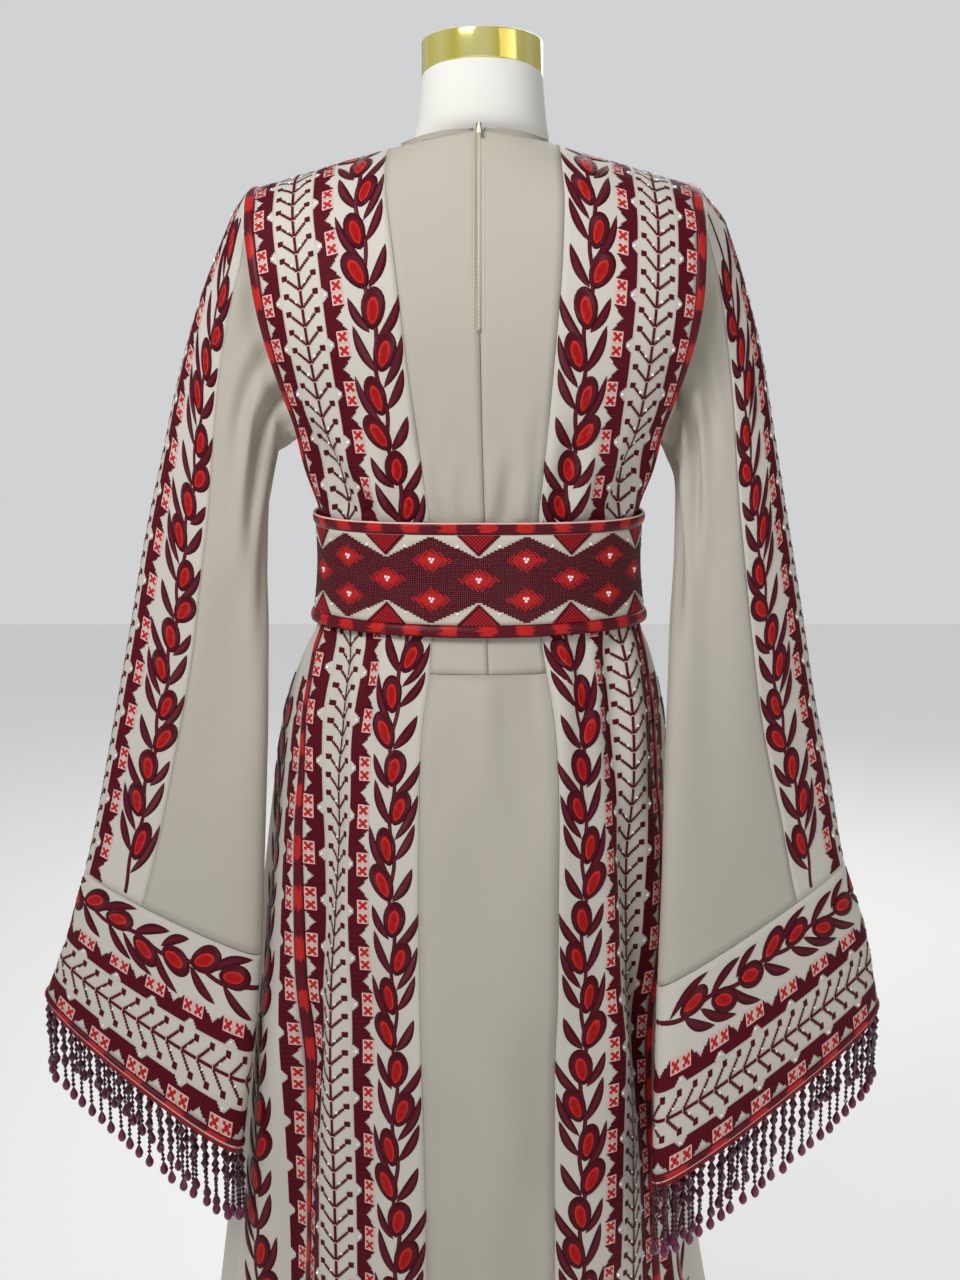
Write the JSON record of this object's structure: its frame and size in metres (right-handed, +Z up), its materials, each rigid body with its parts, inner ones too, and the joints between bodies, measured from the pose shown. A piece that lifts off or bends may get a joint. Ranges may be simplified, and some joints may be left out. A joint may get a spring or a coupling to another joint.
{
  "type": "embroidered thobe on a dress form",
  "caption": "Full-length crepe thobe with wide bell sleeves, embroidered bands, bead-fringed cuffs and a sash belt, worn by a limbless dress form on a round foot.",
  "frame": {"origin": "centre of the underside of the form's round foot, on the floor", "axes": "+Z up; the centre-back zip faces -Y and the wearer's front faces +Y; the wearer's right is +X"},
  "size_m": [0.786, 0.4758, 1.5544],
  "materials": {
    "crepe": "matte greige crepe",
    "embroidered_crepe": "crepe with cross stitch and satin stitch",
    "satin_piping": "satin stitched, dark maroon with red",
    "red_lining": "plain red",
    "glass_beads": "dark plum faceted beads",
    "belt_embroidery": "dense cross stitch",
    "zip_coil": "nylon coil",
    "zip_metal": "pale gold",
    "linen": "white linen",
    "polished_gold": "polished",
    "form_steel": "brushed"
  },
  "bodies": {
    "garment": {"skirt_back_centre": "crepe", "front_centre": "crepe", "back_bodice_left": "crepe", "back_band_left": "embroidered_crepe", "front_band_left": "embroidered_crepe", "piping_left": "satin_piping", "skirt_side_left": "embroidered_crepe", "side_bodice_left": "crepe", "sleeve_band_left": "embroidered_crepe", "sleeve_back_left": "crepe", "sleeve_front_left": "crepe", "cuff_band_left": "embroidered_crepe", "cuff_piping_left": "satin_piping", "cuff_lining_left": "red_lining", "fringe_left": "glass_beads", "neck_facing_back_left": "crepe", "back_bodice_right": "crepe", "back_band_right": "embroidered_crepe", "front_band_right": "embroidered_crepe", "piping_right": "satin_piping", "skirt_side_right": "embroidered_crepe", "side_bodice_right": "crepe", "sleeve_band_right": "embroidered_crepe", "sleeve_back_right": "crepe", "sleeve_front_right": "crepe", "cuff_band_right": "embroidered_crepe", "cuff_piping_right": "satin_piping", "cuff_lining_right": "red_lining", "fringe_right": "glass_beads", "neck_facing_back_right": "crepe", "neck_facing_front": "crepe", "belt_band": "belt_embroidery", "belt_piping_bottom": "satin_piping", "belt_piping_top": "satin_piping", "zip_coil": "zip_coil", "zip_slider": "zip_metal", "form_torso": "linen", "neck_cap": "polished_gold", "form_foot": "form_steel", "form_pole": "form_steel"},
    "pull": {"zip_pull": "zip_metal"}
  },
  "joints": [
    {"name": "pull_hinge", "type": "hinge", "parent": "garment", "child": "pull", "pos_m": [0, -0.0593, 1.47388], "axis": [-1, 0, 0], "range_deg": [0, 130]}
  ]
}
